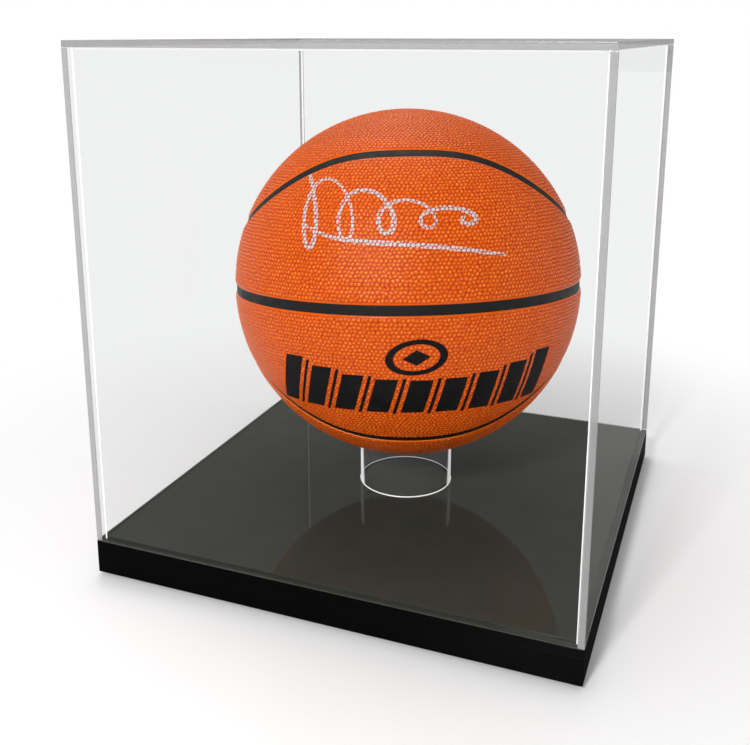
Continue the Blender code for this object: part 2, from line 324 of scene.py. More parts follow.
def add_node(tree, kind, **settings):
    """A node: each setting feeds its input of that name, or is set on the node if it has none."""
    made = tree.nodes.new(kind)
    for key, value in settings.items():
        sockets = [each for each in made.inputs if each.name == key.replace("_", " ")]
        if sockets:
            feed(tree, value, sockets[0])
        else:
            setattr(made, key, value)
    return made


def place_of(tree):
    """Object coordinates."""
    return tree.nodes.new("ShaderNodeTexCoord").outputs["Object"]


def noise(tree, scale, detail):
    """A noise on Object coordinates."""
    made = add_node(tree, "ShaderNodeTexNoise", Vector=place_of(tree), Scale=scale, Detail=detail)
    return made.outputs["Fac"]


def remap(tree, source, low, high, to_low=0.0, to_high=1.0, smooth=False):
    """Stretches the span from low to high over another, and holds it at both ends."""
    made = add_node(
        tree,
        "ShaderNodeMapRange",
        Value=source,
        From_Min=low,
        From_Max=high,
        To_Min=to_low,
        To_Max=to_high,
        interpolation_type="SMOOTHSTEP" if smooth else "LINEAR",
    )
    return made.outputs["Result"]


def calculate(tree, operation, first, second):
    """A Math node on sockets or numbers."""
    made = add_node(tree, "ShaderNodeMath", operation=operation)
    feed(tree, first, made.inputs[0])
    feed(tree, second, made.inputs[1])
    return made.outputs[0]


def blend_colours(tree, mask, first, second):
    """The first colour where the mask is 0 and the second where it is 1, a Mix node's 6 and 7."""
    made = add_node(tree, "ShaderNodeMix", data_type="RGBA")
    for place, value in ((0, mask), (6, first), (7, second)):
        feed(tree, value, made.inputs[place])
    return made.outputs[2]


def blend_shaders(tree, mask, first, second):
    """The first shader where the mask is 0 and the second where it is 1."""
    made = tree.nodes.new("ShaderNodeMixShader")
    for place, value in enumerate((mask, first.outputs[0], second.outputs[0])):
        feed(tree, value, made.inputs[place])
    return made


def bumped(tree, height, strength, distance):
    """A normal from a height."""
    made = add_node(tree, "ShaderNodeBump", Height=height, Strength=strength, Distance=distance)
    return made.outputs["Normal"]


def handled(group, given):
    """Roughness that wanders between Smooth and Rough, with finer specks of handling on top."""
    broad = noise(group, given["Scale"], 4.0)
    fine = noise(group, calculate(group, "MULTIPLY", given["Scale"], 9.0), 5.0)
    span = remap(group, calculate(group, "MULTIPLY", broad, fine), 0.12, 0.42)
    made = add_node(group, "ShaderNodeMix", data_type="FLOAT")
    for place, value in ((0, span), (2, given["Smooth"]), (3, given["Rough"])):
        feed(group, value, made.inputs[place])
    return made.outputs[0]


def dusted(group, given):
    """A mask of sparse fine dust: the tops of a fine noise, thinned by a broad one."""
    tops = remap(group, noise(group, given["Scale"], 1.0), 0.70, 0.78)
    drift = remap(group, noise(group, 14.0, 3.0), 0.42, 0.68)
    both = calculate(group, "MULTIPLY", tops, drift)
    return calculate(group, "MULTIPLY", both, given["Amount"])


def mottled(group, given):
    """A colour times 1 + Amount (noise - 0.5)."""
    swing = calculate(group, "SUBTRACT", noise(group, given["Scale"], 5.0), 0.5)
    gain = calculate(group, "ADD", calculate(group, "MULTIPLY", swing, given["Amount"]), 1.0)
    scaled = add_node(group, "ShaderNodeVectorMath", operation="SCALE", Scale=gain)
    feed(group, given["Color"], scaled.inputs[0])
    return scaled.outputs[0]


def grained(group, given):
    """A height: fine noise over twice as much slow swell."""
    slow = calculate(group, "MULTIPLY", noise(group, given["Swell"], 2.0), 2.0)
    return calculate(group, "ADD", noise(group, given["Scale"], 2.0), slow)


MID_GREY = (0.5, 0.5, 0.5, 1.0)
EFFECTS = {
    "Handled Surface": (handled, "Roughness", {"Scale": 12.0, "Smooth": 0.05, "Rough": 0.12}),
    "Fine Dust": (dusted, "Mask", {"Scale": 900.0, "Amount": 0.5}),
    "Mottle": (mottled, "Color", {"Color": MID_GREY, "Scale": 30.0, "Amount": 0.2}),
    "Fine Grain": (grained, "Height", {"Scale": 1500.0, "Swell": 60.0}),
}


def effect_group(title):
    """The node group of an effect, made once, with its named inputs and one output."""
    if title in bpy.data.node_groups:
        return bpy.data.node_groups[title]
    build, output, inputs = EFFECTS[title]
    group = bpy.data.node_groups.new(title, "ShaderNodeTree")
    kinds = {True: "NodeSocketColor", False: "NodeSocketFloat"}
    for label, value in inputs.items():
        kind = kinds[label == "Color"]
        socket = group.interface.new_socket(label, in_out="INPUT", socket_type=kind)
        socket.default_value = value
    group.interface.new_socket(output, in_out="OUTPUT", socket_type=kinds[output == "Color"])
    given = group.nodes.new("NodeGroupInput").outputs
    out = group.nodes.new("NodeGroupOutput")
    feed(group, build(group, given), out.inputs[0])
    return group


def effect(tree, title, **values):
    """Places an effect in a material, with its own values, and gives its output."""
    made = tree.nodes.new("ShaderNodeGroup")
    made.node_tree = effect_group(title)
    for label, value in values.items():
        feed(tree, value, made.inputs[label])
    return made.outputs[0]


def handling(tree, scale, smooth, rough):
    """A roughness that wanders over a surface."""
    return effect(tree, "Handled Surface", Scale=scale, Smooth=smooth, Rough=rough)


def mottle(tree, colour, scale, amount):
    """A colour whose brightness wanders over a surface."""
    return effect(tree, "Mottle", Color=colour, Scale=scale, Amount=amount)


# Finishes: each function fills a material's tree and gives the shader for its surface

WHITE = (1.0, 1.0, 1.0)
ACRYLIC_IOR = 1.49
GRAIN_DEPTH = 0.0002
FLOOR_PLAIN = 0.21
FLOOR_LIT = 0.52


def paint(name):
    """The colour that is set for a finish."""
    return getattr(bpy.context.scene.finishes, name)


def clear_sheet(tree):
    """Faces of the cover: light goes straight through with a faint tint, and grazing light shines.

    The share of gloss starts where Fresnel passes 0.016, so it is none for a sheet that is looked
    at squarely, and it stops at a tenth. Only the face towards the eye has it, because light
    doesn't bend inside this sheet, and a bright lining would trap it. Light from a matt surface
    meets no gloss, which keeps sparks of the lamps off the deck.
    """
    through = add_node(tree, "ShaderNodeBsdfTransparent", Color=paint("acrylic"))
    gloss = add_node(
        tree,
        "ShaderNodeBsdfPrincipled",
        Base_Color=(0.96, 0.97, 0.98),
        Metallic=1.0,
        Roughness=handling(tree, 9.0, 0.012, 0.05),
    )
    fresnel = add_node(tree, "ShaderNodeFresnel", IOR=1.16).outputs[0]
    share = remap(tree, fresnel, 0.016, 0.116, 0.0, 0.10)
    for without in (
        tree.nodes.new("ShaderNodeNewGeometry").outputs["Backfacing"],
        tree.nodes.new("ShaderNodeLightPath").outputs["Is Diffuse Ray"],
    ):
        share = calculate(tree, "MULTIPLY", share, calculate(tree, "SUBTRACT", 1.0, without))
    return blend_shaders(tree, share, through, gloss)


def painted_glow_acrylic(tree, colour, worn, painted_glow):
    """Acrylic with a painted glow: an emission that stands in for the light it carries from its other
    edges.
    """
    return add_node(
        tree,
        "ShaderNodeBsdfPrincipled",
        IOR=ACRYLIC_IOR,
        Base_Color=colour,
        Roughness=worn,
        Emission_Color=WHITE,
        Emission_Strength=painted_glow,
    )


def milky(tree, colour, dense, smooth, scale, painted_glow):
    """Acrylic seen through its own edge: a soft grey that lets part of the light through, with a
    painted glow of the given strength.
    """
    shade = mottle(tree, colour, scale, 0.16)
    body = painted_glow_acrylic(tree, shade, handling(tree, 40.0, smooth, smooth * 2), painted_glow)
    through = add_node(tree, "ShaderNodeBsdfTransparent", Color=(0.97, 0.97, 0.97))
    return blend_shaders(tree, handling(tree, 25.0, dense, dense * 1.08), through, body)


def polished_edge(tree):
    """Polished edges of the cover's sheets."""
    return milky(tree, paint("edge"), 0.82, 0.12, 70.0, 0.0)


def cement(tree):
    """Solvent cement in the corners of the cover and under the tube. Its white is partly the cement's
    own and partly a painted highlight of the light that the joints catch, and its emission is a
    painted glow that stands in for light carried along the acrylic.
    """
    return milky(tree, paint("cement"), 0.80, 0.25, 160.0, 0.35)


def clear_tube(tree):
    """The riser tube: clear where it faces the eye, and where its wall is seen edge-on a painted
    highlight, white with a painted glow.
    """
    through = add_node(tree, "ShaderNodeBsdfTransparent", Color=(0.97, 0.975, 0.975))
    wall = painted_glow_acrylic(tree, (0.9, 0.91, 0.91), handling(tree, 30.0, 0.03, 0.09), 0.45)
    # Painted highlight: the wall turns white and glows where it is seen edge-on.
    facing = add_node(tree, "ShaderNodeLayerWeight", Blend=0.5).outputs["Facing"]
    rim = remap(tree, facing, 0.64, 0.76, 0.02, 0.95, smooth=True)
    return blend_shaders(tree, rim, through, wall)


def solid(tree, shade, smooth, rough, grain=None, **values):
    """An opaque finish of a colour, handled roughness and, with its scale and strength, a grain."""
    if grain:
        scale, strength = grain
        height = effect(tree, "Fine Grain", Scale=scale, Swell=scale / 20)
        values["Normal"] = bumped(tree, height, strength, GRAIN_DEPTH)
    worn = handling(tree, 22.0, smooth, rough)
    return add_node(tree, "ShaderNodeBsdfPrincipled", Base_Color=shade, Roughness=worn, **values)


def gloss_acrylic(tree, colour, coat, dust):
    """Opaque acrylic under a clear gloss, with a little dust lying on it."""
    specks = effect(tree, "Fine Dust", Scale=1100.0, Amount=dust)
    dusty = blend_colours(tree, specks, mottle(tree, colour, 40.0, 0.3), (0.16, 0.16, 0.15))
    return solid(
        tree,
        dusty,
        0.45,
        0.60,
        Specular_IOR_Level=0.0,
        Coat_Weight=coat,
        Coat_Roughness=0.035,
        Coat_IOR=1.5,
    )


def black_acrylic(tree):
    """Edges and skirts of the base."""
    return gloss_acrylic(tree, paint("black"), 0.045, 0.05)


def deck_acrylic_painted_reflection(tree):
    """The deck's upper face, which shows the room and the ball in its gloss. Its colour, paler than
    the skirts', is a painted reflection of the bright room.
    """
    return gloss_acrylic(tree, paint("deck"), 0.50, 0.12)


def foot_rubber(tree):
    """Soft matt rubber of the feet."""
    shade = mottle(tree, paint("rubber"), 200.0, 0.5)
    return solid(tree, shade, 0.6, 0.85, (2600.0, 0.5))


def channel_rubber(tree):
    """Rubber in the ball's channels and round its valve."""
    shade = mottle(tree, paint("rubber"), 120.0, 0.5)
    return solid(tree, shade, 0.42, 0.62, (2200.0, 0.25), Specular_IOR_Level=0.22)


def butyl(tree):
    """Smooth butyl with a bloom of talc."""
    return solid(tree, mottle(tree, (0.03, 0.03, 0.032), 30.0, 0.9), 0.45, 0.7, (700.0, 0.2))


def thread_winding(tree):
    """Thread wound over the bladder: crossing waves of pale strands."""
    strands = []
    for axis in ("X", "DIAGONAL"):
        wave = add_node(
            tree, "ShaderNodeTexWave", Vector=place_of(tree), Scale=420.0, Distortion=1.5
        )
        wave.bands_direction = axis
        strands.append(wave.outputs["Fac"])
    weave = calculate(tree, "MAXIMUM", *strands)
    pale = mottle(tree, (0.60, 0.57, 0.50), 90.0, 0.4)
    shade = blend_colours(tree, weave, (0.30, 0.27, 0.22), pale)
    return solid(tree, shade, 0.6, 0.85, Normal=bumped(tree, weave, 0.6, 0.0003))


def marked(tree, pebble, colour, rough, mark):
    """The colour and roughness under a mark, which the mesh gives as millimetres outside it.

    A print covers all inside its outline. A pen only touches the tops of the pebbles.
    """
    gap = add_node(tree, "ShaderNodeAttribute", attribute_name="mark").outputs["Fac"]
    inside = remap(tree, gap, -0.10, 0.10, 1.0, 0.0, smooth=True)
    ink, drier = (0.003, 0.003, 0.003), 0.22
    if mark == "pen":
        ink, drier = paint("silver"), -0.04
        touched = remap(tree, pebble, 0.26, 0.54, smooth=True)
        inside = calculate(tree, "MULTIPLY", inside, touched)
    patchy = remap(tree, noise(tree, 900.0, 4.0), 0.18, 0.32)
    inside = calculate(tree, "MULTIPLY", inside, patchy)
    rough = calculate(tree, "ADD", rough, calculate(tree, "MULTIPLY", inside, drier))
    return blend_colours(tree, inside, colour, ink), rough


def leather(tree, mark=None):
    """Pebbled panels: a painted highlight on the tops of the pebbles, painted shade in their valleys,
    a fine grain, and a print or pen mark.

    The mesh gives how high each point stands on its pebble, from 0 to 1.
    """
    pebble = add_node(tree, "ShaderNodeAttribute", attribute_name="pebble").outputs["Fac"]
    top = mottle(tree, mottle(tree, paint("leather"), 34.0, 0.22), 700.0, 0.20)
    # Painted shade: the valleys take a darker orange.
    rise = remap(tree, pebble, 0.05, 0.60, smooth=True)
    colour = blend_colours(tree, rise, paint("valley"), top)
    # Painted highlight: the tops of the pebbles take a paler orange.
    crown = remap(tree, pebble, 0.74, 0.90, 0.0, 0.9, smooth=True)
    colour = blend_colours(tree, crown, colour, paint("crown"))
    worn = handling(tree, 60.0, -0.03, 0.05)
    rough = calculate(tree, "ADD", remap(tree, pebble, 0.3, 0.8, 0.46, 0.18), worn)
    if mark:
        colour, rough = marked(tree, pebble, colour, rough, mark)
    height = effect(tree, "Fine Grain", Scale=4200.0, Swell=500.0)
    return add_node(
        tree,
        "ShaderNodeBsdfPrincipled",
        IOR=1.45,
        Specular_IOR_Level=0.20,
        Base_Color=colour,
        Roughness=rough,
        Normal=bumped(tree, height, 0.015, GRAIN_DEPTH),
    )


def leather_plain(tree):
    """Six panels."""
    return leather(tree)


def leather_printed(tree):
    """The lower front band."""
    return leather(tree, "print")


def leather_signed(tree):
    """The upper front band."""
    return leather(tree, "pen")


def floor_paper(tree):
    """Pale studio paper with a faint satin sheen, lit from below away from the case."""
    paper = solid(tree, mottle(tree, (0.90, 0.90, 0.90), 2.0, 0.01), 0.30, 0.40, IOR=1.5)
    far = add_node(tree, "ShaderNodeVectorMath", operation="LENGTH")
    feed(tree, place_of(tree), far.inputs[0])
    share = remap(tree, far.outputs["Value"], FLOOR_PLAIN, FLOOR_LIT, smooth=True)
    panel = add_node(tree, "ShaderNodeEmission", Color=WHITE, Strength=1.0)
    return blend_shaders(tree, share, paper, panel)


FINISH_MAKERS = (
    clear_sheet,
    polished_edge,
    cement,
    clear_tube,
    black_acrylic,
    deck_acrylic_painted_reflection,
    foot_rubber,
    channel_rubber,
    butyl,
    thread_winding,
    leather_plain,
    leather_printed,
    leather_signed,
    floor_paper,
)
MATERIALS = {}


def finish_of(name):
    """The material that the maker of that name fills, made the first time it is asked for."""
    if name not in MATERIALS:
        makers = {maker.__name__: maker for maker in FINISH_MAKERS}
        MATERIALS[name] = bpy.data.materials.new(name)
        MATERIALS[name].use_nodes = True
        tree = MATERIALS[name].node_tree
        tree.nodes.clear()
        out = tree.nodes.new("ShaderNodeOutputMaterial")
        feed(tree, makers[name](tree).outputs[0], out.inputs["Surface"])
    return MATERIALS[name]


# Ball geometry

# The rim that the ball rests on, and how far its sphere stands off it
SEAT_CHAMFER = 0.0006
SEAT_GAP = 0.0003

# The curved seam's latitude, and how far a cap panel reaches towards its two sharp corners
CURVE_MEAN = math.radians(38.3)
CURVE_TWICE = math.radians(14.25)
CURVE_FOUR = math.radians(-3.0)
PANEL_CORNER = 0.975

# Pebbles: how they are spread and shaped, as shares of their pitch and height
RING_STEP = 0.87
RING_STAGGER = 0.16
JITTER = 0.46
VALLEY_SHARE = 0.64
CROWN_SHARE = 0.62
CROWN_DROP = 0.5
SIZE_SPREAD = 0.16
FAR = 9.0

# A panel's edge: its roll, and where the pebbles begin
ROLL_SHARE = 0.85
ROLL_BEND = 1.6
ROLL_START = -0.0008
PEBBLE_START = (0.0002, 0.0014)
PLAIN_HEIGHT = 0.72
INNER_ROWS = 6

# The crease above the middle seam
CREASE_PLACE = 0.0125
CREASE_WIDTH = 0.0016
CREASE_DEPTH = 0.00022

# A print's pressed edge, in millimetres, and the pebbles left under it
PRINT_EDGE = (-0.25, 0.45)
PRINT_LOW = 0.22
PRINT_RELIEF = 0.12

# The valve's place, its dimple, and the plain ring round it
VALVE_LATITUDE = math.radians(25.0)
VALVE_DIMPLE = (0.0046, 0.0058)
VALVE_PLAIN = (0.0058, 0.0075)
DIMPLE_SHARE = 0.9


def ball_centre():
    """Where the ball sits: its sphere rests on the tube's inner rim."""
    ball = bpy.context.scene.ball_sizes
    seat = TUBE_HIGH[0] - bpy.context.scene.case_sizes.tube_wall + SEAT_CHAMFER
    rise = math.sqrt((ball.radius + SEAT_GAP) ** 2 - seat**2)
    return np.array([0.0, 0.0, TUBE_HIGH[2] + rise])


def ball_rotation():
    """Rolled about Y, then tilted about X, then turned about Z."""
    ball = bpy.context.scene.ball_sizes

    def spin(angle, first, second):
        matrix = np.eye(3)
        matrix[first, first] = matrix[second, second] = math.cos(angle)
        matrix[first, second], matrix[second, first] = -math.sin(angle), math.sin(angle)
        return matrix

    return spin(ball.turn, 0, 1) @ spin(-ball.tilt, 1, 2) @ spin(ball.roll, 2, 0)


def to_place(local):
    """Points of the ball's own frame, in the model's frame."""
    return local @ ball_rotation().T + ball_centre()


def direction(latitude, around):
    """Unit vectors: latitude above the middle seam, and the angle around from the ball's face."""
    latitude, around = np.broadcast_arrays(latitude, around)
    level = np.cos(latitude)
    return np.stack([level * np.sin(around), -level * np.cos(around), np.sin(latitude)], axis=-1)


def bearings(unit):
    """The latitude of unit vectors and their angle around: direction, the other way about."""
    return np.arcsin(np.clip(unit[..., 2], -1, 1)), np.arctan2(unit[..., 0], -unit[..., 1])


def curve_latitude(around):
    """The curved seam: MEAN + TWICE cos 2a + FOUR cos 4a above the middle seam."""
    return CURVE_MEAN + CURVE_TWICE * np.cos(2 * around) + CURVE_FOUR * np.cos(4 * around)


def curve_stretch(around):
    """How much wider the curved seam looks along a meridian than across itself."""
    rise = -2 * CURVE_TWICE * np.sin(2 * around) - 4 * CURVE_FOUR * np.sin(4 * around)
    return np.sqrt(1 + (rise / np.cos(curve_latitude(around))) ** 2)


def seam_gap(unit):
    """Distance along the ball from each unit vector to the middle of the nearest seam."""
    radius = bpy.context.scene.ball_sizes.radius
    latitude, around = bearings(unit)
    latitude = np.abs(latitude)
    curve = np.abs(latitude - curve_latitude(around)) / curve_stretch(around)
    cross = np.abs(np.arcsin(np.clip(unit[..., 1], -1, 1)))
    return radius * np.minimum(np.minimum(latitude, curve), cross)


def band_grid(columns, rows):
    """The panel between the middle and the curved seam, on the ball's face, as unit vectors."""
    half = half_seam()
    across, up = np.meshgrid(np.linspace(-1, 1, columns + 1), np.linspace(0, 1, rows + 1))

    def latitude_at(around):
        top = curve_latitude(around) - half * curve_stretch(around)
        return half + up * (top - half)

    latitude = latitude_at(across * math.pi / 2)
    around = across * np.arccos(math.sin(half) / np.cos(latitude))
    return direction(latitude_at(around), around)


def cap_grid(columns, rows):
    """The panel above the curved seam: arcs of great circles from it up to the cross seam."""
    half = half_seam()
    across = np.linspace(-PANEL_CORNER, PANEL_CORNER, columns + 1)
    side = math.pi / 2
    end_latitude = curve_latitude(side) + half * curve_stretch(side)
    end = math.acos(math.sin(half) / math.cos(end_latitude))
    around = across * end
    low = direction(curve_latitude(around) + half * curve_stretch(around), around)
    lean = across * (math.pi / 2 - end_latitude)
    level = np.full_like(lean, math.sin(half))
    high = np.stack([math.cos(half) * np.sin(lean), -level, math.cos(half) * np.cos(lean)], axis=-1)
    gap = np.arccos(np.clip((low * high).sum(axis=-1), -1, 1))[None, :, None]
    share = np.linspace(0, 1, rows + 1)[:, None, None]
    return (np.sin((1 - share) * gap) * low + np.sin(share * gap) * high) / np.sin(gap)


def half_seam():
    """Half a seam's width, as an angle at the ball's centre."""
    ball = bpy.context.scene.ball_sizes
    return ball.seam_width / 2 / ball.radius


def scatter(ring, seat, salt):
    """A repeatable number from 0 to 1 for each ring and seat.

    They are multiplied by large primes and added, their bits are mixed, and the lowest twenty bits
    are divided by the largest number that these can hold.
    """
    for_ring, for_seat, for_salt, for_mix = 73856093, 19349663, 83492791, 1274126177
    lowest = 0xFFFFF
    mixed = ring.astype(np.uint64) * np.uint64(for_ring)
    mixed = mixed + seat.astype(np.uint64) * np.uint64(for_seat)
    mixed = mixed + np.uint64(salt * for_salt)
    mixed = (mixed ^ (mixed >> np.uint64(13))) * np.uint64(for_mix)
    mixed = mixed ^ (mixed >> np.uint64(16))
    return (mixed & np.uint64(lowest)).astype(float) / lowest


def pebbles(unit):
    """How high each point stands on its pebble, from 0 in a valley to 1 on top.

    Pebble centres lie on rings round the ball, a RING_STEP of the pitch apart, staggered from ring
    to ring and moved at random by up to half of JITTER. With d1 and d2 the distances to the nearest
    two, q is (d2 - d1) / (VALLEY_SHARE pitch), held to 1. The height is 1 - (1 - q)^2, a valley
    that meets the tops smoothly, times 1 - CROWN_DROP (d1 / (CROWN_SHARE pitch))^2, a round top,
    times the pebble's own size.
    """
    ball = bpy.context.scene.ball_sizes
    pitch = ball.pebble_pitch / ball.radius
    rings = round(math.pi / (pitch * RING_STEP))
    step = math.pi / rings
    latitude, around = bearings(unit)
    around = np.mod(around, 2 * math.pi)
    here = np.floor((latitude + math.pi / 2) / step).astype(int)
    nearest = np.full(latitude.shape, FAR)
    second = np.full(latitude.shape, FAR)
    size = np.zeros(latitude.shape)
    for ring_step in (-1, 0, 1):
        ring = np.clip(here + ring_step, 0, rings - 1)
        ring_latitude = -math.pi / 2 + (ring + 0.5) * step
        seats = np.maximum(1, np.round(2 * math.pi * np.cos(ring_latitude) / pitch)).astype(int)
        lag = 0.5 * (ring % 2) + RING_STAGGER * scatter(ring, ring, 5)
        nearest_seat = np.floor(around * seats / (2 * math.pi) - lag).astype(int)
        for seat_step in (-1, 0, 1):
            seat = np.mod(nearest_seat + seat_step, seats)
            shift = JITTER * (scatter(ring, seat, 1) - 0.5)
            lift = JITTER * (scatter(ring, seat, 2) - 0.5)
            centre = direction(
                ring_latitude + lift * step, (seat + 0.5 + lag + shift) * 2 * math.pi / seats
            )
            gap = np.linalg.norm(unit - centre, axis=-1)
            closer = gap < nearest
            second = np.where(closer, nearest, np.minimum(second, gap))
            size = np.where(closer, scatter(ring, seat, 3), size)
            nearest = np.where(closer, gap, nearest)
    rise = np.clip((second - nearest) / (VALLEY_SHARE * pitch), 0, 1)
    crown = 1 - CROWN_DROP * np.clip(nearest / (CROWN_SHARE * pitch), 0, 1) ** 2
    return (1 - (1 - rise) ** 2) * crown * (1 - SIZE_SPREAD + SIZE_SPREAD * size)


def ease(value, low, high):
    """A smooth step: 3t^2 - 2t^3 of how far value is from low to high."""
    share = np.clip((value - low) / (high - low), 0, 1)
    return share * share * (3 - 2 * share)


def panel_millimetres(unit):
    """Across and up on a panel, in millimetres along the ball from the middle of its face."""
    radius = bpy.context.scene.ball_sizes.radius / MM
    latitude, around = bearings(unit)
    return radius * around * np.cos(latitude), radius * latitude


def printed_motif(unit):
    """Millimetres outside the printed motif: a ring with a diamond, over a row of slanted bars.

    The ring is ||p| - radius| - half its stroke, with its width drawn out, and the diamond is
    |x| + |y| - size. A bar is the larger of |x'| - half width and |y'| - half height, with x'
    sheared by the slant. Seventeen bars stand side by side, wide and thin in turn, on a line that
    bends up at its ends, where they also stand taller.
    """
    x, y = panel_millimetres(unit)
    x = x - 5.0
    ring_y = y + 29.0 - 0.09 * x
    ring = np.abs(np.hypot(x / 1.6, ring_y) - 10.2) - 1.5
    diamond = (np.abs(x) * 0.6 + np.abs(ring_y)) * 0.86 - 4.4
    motif = np.minimum(ring, diamond)
    each_side, between, slant = 8, 10.6, 0.25
    wide, thin = (6.9, 13.0), (1.1, 14.2)
    for place in range(-each_side, each_side + 1):
        away = (place / each_side) ** 2
        half_width, half_height = thin if place % 2 else wide
        above = y + 57.5 - 7.0 * away
        across = x - place * between - slant * above
        bar = np.maximum(np.abs(across) - half_width, np.abs(above) - half_height - 5.5 * away)
        motif = np.minimum(motif, bar)
    return motif


def pen_flourish(unit):
    """Millimetres outside a pen stroke: loops that die away to the right, and a swoosh under them.

    With t from 0 to 1 and w = 9.5 pi t, the loops are x = -74 + 118 t + 10 sin w and
    y = 62 - 8 t + (25 (1 - t)^1.5 + 4) cos w, and half their width is
    1.3 + 0.35 sin (w / 2 + 0.6). The swoosh is x = 62 - 128 t and y = 30 + 9 sin 2.6 t + 16 t^6,
    and half its width is 0.8 + 0.8 (sin pi t)^0.7.
    """
    x, y = panel_millimetres(unit)
    loop_points, swoosh_points = 900, 420
    share = np.linspace(0, 1, loop_points)
    wave = 9.5 * math.pi * share
    loops = np.stack([
        -74 + 118 * share + 10 * np.sin(wave),
        62 - 8 * share + (25 * (1 - share) ** 1.5 + 4) * np.cos(wave),
        1.30 + 0.35 * np.sin(wave * 0.5 + 0.6),
    ])
    share = np.linspace(0, 1, swoosh_points)
    swoosh = np.stack([
        62 - 128 * share,
        30 + 9 * np.sin(2.6 * share) + 16 * share**6,
        0.80 + 0.80 * np.sin(math.pi * share) ** 0.7,
    ])
    gap = np.full(x.shape, 50.0)
    for point_x, point_y, half in np.concatenate([loops, swoosh], axis=1).T:
        np.minimum(gap, np.hypot(x - point_x, y - point_y) - half, out=gap)
    return gap


def valve_direction():
    """The valve's axis in the ball's frame: on its back, above the middle seam."""
    return direction(VALVE_LATITUDE, math.pi)


def make_panel(name, grid, flips, mark):
    """One pebbled panel as a closed shell.

    Outside it is the ball's radius - (1 - pebble) height, less the roll at its edge, which is
    ROLL_SHARE of the seam's depth times (1 - ease)^ROLL_BEND, and less a soft crease, a bell curve
    of the distance to a line above the middle seam. Pebbles fade out at the edge and round the
    valve, and are pressed low under a print. Inside it is a coarser sphere one panel wall lower.
    """
    ball = bpy.context.scene.ball_sizes
    unit = grid * flips
    edge = seam_gap(unit) - ball.seam_width / 2
    valve = ball.radius * np.arccos(np.clip(unit @ valve_direction(), -1, 1))
    dimple = 1 - ease(valve, *VALVE_DIMPLE)
    pebbled = np.minimum(ease(edge, *PEBBLE_START), ease(valve, *VALVE_PLAIN))
    height = pebbles(unit) * pebbled + PLAIN_HEIGHT * (1 - pebbled)
    values = {}
    finish = "leather_plain"
    if mark:
        finish, shape = mark
        gap = shape(unit)
        values["mark"] = gap
    if finish == "leather_printed":
        pressed = 1 - ease(gap, *PRINT_EDGE)
        height = height * (1 - pressed) + (PRINT_LOW + PRINT_RELIEF * height) * pressed
    rolled = (1 - ease(edge, ROLL_START, ball.panel_roll)) ** ROLL_BEND
    rolled = ROLL_SHARE * ball.seam_depth * rolled
    above = ball.radius * bearings(unit)[0]
    rolled = rolled + CREASE_DEPTH * np.exp(-(((above - CREASE_PLACE) / CREASE_WIDTH) ** 2))
    radius = ball.radius - (1 - height) * ball.pebble_height - rolled
    radius = radius - dimple * ball.panel_wall * DIMPLE_SHARE
    outer = unit * radius[..., None]
    rows, columns = grid.shape[:2]
    picked = np.linspace(0, rows - 1, INNER_ROWS + 1).round().astype(int)
    inner = unit[picked] * (ball.radius - ball.panel_wall)
    points = np.concatenate([outer.reshape(-1, 3), inner.reshape(-1, 3)])
    base = rows * columns
    quads = grid_quads(rows, columns)
    under = grid_quads(len(picked), columns)[:, ::-1] + base
    along = np.arange(columns - 1)
    last = (rows - 1) * columns
    under_last = base + INNER_ROWS * columns
    low_rim = np.stack([along, base + along, base + along + 1, along + 1], axis=-1)
    high_rim = np.stack(
        [last + along + 1, under_last + along + 1, under_last + along, last + along], axis=-1
    )
    faces = [quads, under, low_rim, high_rim]
    for column, order in ((0, 1), (columns - 1, -1)):
        for step, (start, stop) in enumerate(zip(picked[:-1], picked[1:])):
            outer_run = np.arange(start, stop + 1) * columns + column
            inner_run = base + np.array([step + 1, step]) * columns + column
            faces.append(np.concatenate([outer_run, inner_run])[::order][None, :])
    values["pebble"] = height
    hidden = np.full(inner.size // 3, FAR)
    values = {label: np.concatenate([value.ravel(), hidden]) for label, value in values.items()}
    make_piece(name, to_place(points), faces, [finish_of(finish)], "ball", [name], "ball_leather",
               values=values)


# Operators

SMALL_STEPS = 64
CREASED = math.radians(40)


